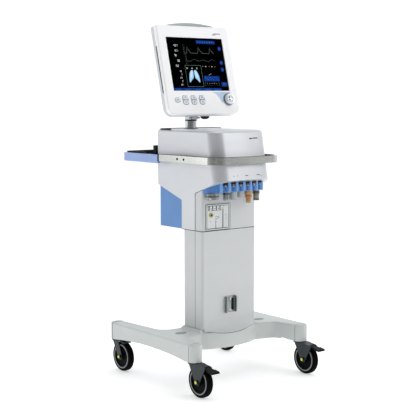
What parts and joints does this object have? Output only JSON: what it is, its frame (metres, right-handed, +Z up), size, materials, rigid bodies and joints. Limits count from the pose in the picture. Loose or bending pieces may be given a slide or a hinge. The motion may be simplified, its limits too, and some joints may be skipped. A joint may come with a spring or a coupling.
{
  "type": "mechanical ventilator",
  "caption": "Intensive care ventilator on a four-caster trolley with a tilting control monitor, side rail, push handle and breathing hose ports.",
  "frame": {"origin": "on the floor, midway between the four caster swivels", "axes": "+Z up; the front with the screen and the ports faces -Y; +X is to the right seen from the front"},
  "size_m": [0.5568, 0.692, 1.2985],
  "materials": {
    "base_paint": "satin powder coat",
    "frame_paint": "matt powder coat",
    "column_paint": "satin powder coat",
    "bracket_steel": "brushed",
    "module_metal": "satin anodised",
    "housing_plastic": "fine texture",
    "cover_blue": "fine texture",
    "panel_blue": "semi-gloss",
    "port_plastic": "smooth",
    "fitting_amber": "smooth",
    "sensor_plastic": "smooth",
    "rail_metal": "satin",
    "black_plastic": "fine texture",
    "handle_blue": "satin",
    "block_metal": "machined",
    "battery_case": "moulded",
    "supply_case": "sheet",
    "board_green": "solder mask",
    "post_metal": "satin anodised",
    "inlet_brass": "machined",
    "monitor_plastic": "fine texture",
    "screen_glass": "anti-glare",
    "display_metal": "moulded",
    "lip_plastic": "smooth",
    "key_rubber": "soft touch",
    "knob_metal": "satin",
    "fork_slate": "satin",
    "wheel_grey": "moulded",
    "tyre_black": "smooth",
    "pedal_plastic": "moulded"
  },
  "bodies": {
    "trolley": {"base_cover": "base_paint", "main_frame": "frame_paint", "leg_end_caps": "base_paint", "column_front_cover": "column_paint", "column_side_panels": "column_paint", "column_rear_panel": "column_paint", "accessory_bracket": "bracket_steel", "upper_front_cover": "column_paint", "module_plate": "module_metal", "housing_lower_shell": "housing_plastic", "housing_upper_shell": "housing_plastic", "rear_lower_cover": "cover_blue", "rear_panel": "cover_blue", "connector_panel": "panel_blue", "expiratory_valve": "port_plastic", "breathing_ports": "port_plastic", "gas_fitting": "fitting_amber", "sensor_ports": "sensor_plastic", "band_rail": "rail_metal", "rail_standoffs": "black_plastic", "push_handle": "handle_blue", "handle_grip": "black_plastic", "handle_brackets": "black_plastic", "pneumatic_block": "block_metal", "blower_unit": "block_metal", "battery_pack": "battery_case", "power_supply": "supply_case", "control_board": "board_green", "monitor_post": "post_metal", "gas_inlets": "inlet_brass", "mains_inlet": "black_plastic"},
    "caster_fl": {"caster_fork_fl": "fork_slate"},
    "wheel_fl": {"caster_wheel_fl": "wheel_grey", "caster_tyre_fl": "tyre_black"},
    "brake_fl": {"brake_pedal_fl": "pedal_plastic"},
    "caster_fr": {"caster_fork_fr": "fork_slate"},
    "wheel_fr": {"caster_wheel_fr": "wheel_grey", "caster_tyre_fr": "tyre_black"},
    "brake_fr": {"brake_pedal_fr": "pedal_plastic"},
    "caster_rl": {"caster_fork_rl": "fork_slate"},
    "wheel_rl": {"caster_wheel_rl": "wheel_grey", "caster_tyre_rl": "tyre_black"},
    "caster_rr": {"caster_fork_rr": "fork_slate"},
    "wheel_rr": {"caster_wheel_rr": "wheel_grey", "caster_tyre_rr": "tyre_black"},
    "swivel_head": {"swivel_head": "post_metal"},
    "monitor": {"monitor_bezel": "monitor_plastic", "monitor_rear_shell": "monitor_plastic", "screen_glass": "screen_glass", "display_module": "display_metal", "top_lip": "lip_plastic"},
    "tilt_knob": {"tilt_knob": "black_plastic"},
    "control_knob": {"control_knob": "knob_metal"},
    "key_1": {"key_1": "key_rubber"},
    "key_2": {"key_2": "key_rubber"},
    "key_3": {"key_3": "key_rubber"},
    "key_4": {"key_4": "key_rubber"},
    "key_5": {"key_5": "key_rubber"},
    "key_6": {"key_6": "key_rubber"},
    "key_7": {"key_7": "key_rubber"}
  },
  "joints": [
    {"name": "caster_swivel_fl", "type": "hinge", "parent": "trolley", "child": "caster_fl", "pos_m": [-0.252, -0.232, 0.14], "axis": [0, 0, 1], "continuous": true},
    {"name": "wheel_spin_fl", "type": "hinge", "parent": "caster_fl", "child": "wheel_fl", "pos_m": [-0.252, -0.266, 0.056], "axis": [1, 0, 0], "continuous": true},
    {"name": "brake_press_fl", "type": "hinge", "parent": "caster_fl", "child": "brake_fl", "pos_m": [-0.252, -0.3, 0.107], "axis": [1, 0, 0], "range_deg": [0, 12]},
    {"name": "caster_swivel_fr", "type": "hinge", "parent": "trolley", "child": "caster_fr", "pos_m": [0.252, -0.232, 0.14], "axis": [0, 0, 1], "continuous": true},
    {"name": "wheel_spin_fr", "type": "hinge", "parent": "caster_fr", "child": "wheel_fr", "pos_m": [0.252, -0.266, 0.056], "axis": [1, 0, 0], "continuous": true},
    {"name": "brake_press_fr", "type": "hinge", "parent": "caster_fr", "child": "brake_fr", "pos_m": [0.252, -0.3, 0.107], "axis": [1, 0, 0], "range_deg": [0, 12]},
    {"name": "caster_swivel_rl", "type": "hinge", "parent": "trolley", "child": "caster_rl", "pos_m": [-0.252, 0.232, 0.14], "axis": [0, 0, 1], "continuous": true},
    {"name": "wheel_spin_rl", "type": "hinge", "parent": "caster_rl", "child": "wheel_rl", "pos_m": [-0.252, 0.198, 0.056], "axis": [1, 0, 0], "continuous": true},
    {"name": "caster_swivel_rr", "type": "hinge", "parent": "trolley", "child": "caster_rr", "pos_m": [0.252, 0.232, 0.14], "axis": [0, 0, 1], "continuous": true},
    {"name": "wheel_spin_rr", "type": "hinge", "parent": "caster_rr", "child": "wheel_rr", "pos_m": [0.252, 0.198, 0.056], "axis": [1, 0, 0], "continuous": true},
    {"name": "monitor_swivel", "type": "hinge", "parent": "trolley", "child": "swivel_head", "pos_m": [0, 0.105, 0.94], "axis": [0, 0, 1], "range_deg": [-90, 90]},
    {"name": "monitor_tilt", "type": "hinge", "parent": "swivel_head", "child": "monitor", "pos_m": [0, 0.1, 0.964], "axis": [1, 0, 0], "range_deg": [-15, 10]},
    {"name": "tilt_knob_turn", "type": "hinge", "parent": "swivel_head", "child": "tilt_knob", "pos_m": [0.06, 0.1, 0.964], "axis": [1, 0, 0], "range_deg": [-180, 0]},
    {"name": "control_knob_turn", "type": "hinge", "parent": "monitor", "child": "control_knob", "pos_m": [0.118, 0.03036, 1.01604], "axis": [0, -0.9699, 0.2436], "continuous": true},
    {"name": "key_press_1", "type": "slide", "parent": "monitor", "child": "key_1", "axis": [0, 0.9699, -0.2436], "range_m": [0, 0.0015], "stiffness_N_per_m": 300},
    {"name": "key_press_2", "type": "slide", "parent": "monitor", "child": "key_2", "axis": [0, 0.9699, -0.2436], "range_m": [0, 0.0015], "stiffness_N_per_m": 300},
    {"name": "key_press_3", "type": "slide", "parent": "monitor", "child": "key_3", "axis": [0, 0.9699, -0.2436], "range_m": [0, 0.0015], "stiffness_N_per_m": 300},
    {"name": "key_press_4", "type": "slide", "parent": "monitor", "child": "key_4", "axis": [0, 0.9699, -0.2436], "range_m": [0, 0.0015], "stiffness_N_per_m": 300},
    {"name": "key_press_5", "type": "slide", "parent": "monitor", "child": "key_5", "axis": [0, 0.9699, -0.2436], "range_m": [0, 0.0015], "stiffness_N_per_m": 300},
    {"name": "key_press_6", "type": "slide", "parent": "monitor", "child": "key_6", "axis": [0, 0.9699, -0.2436], "range_m": [0, 0.0015], "stiffness_N_per_m": 300},
    {"name": "key_press_7", "type": "slide", "parent": "monitor", "child": "key_7", "axis": [0, 0.9699, -0.2436], "range_m": [0, 0.0015], "stiffness_N_per_m": 300}
  ]
}
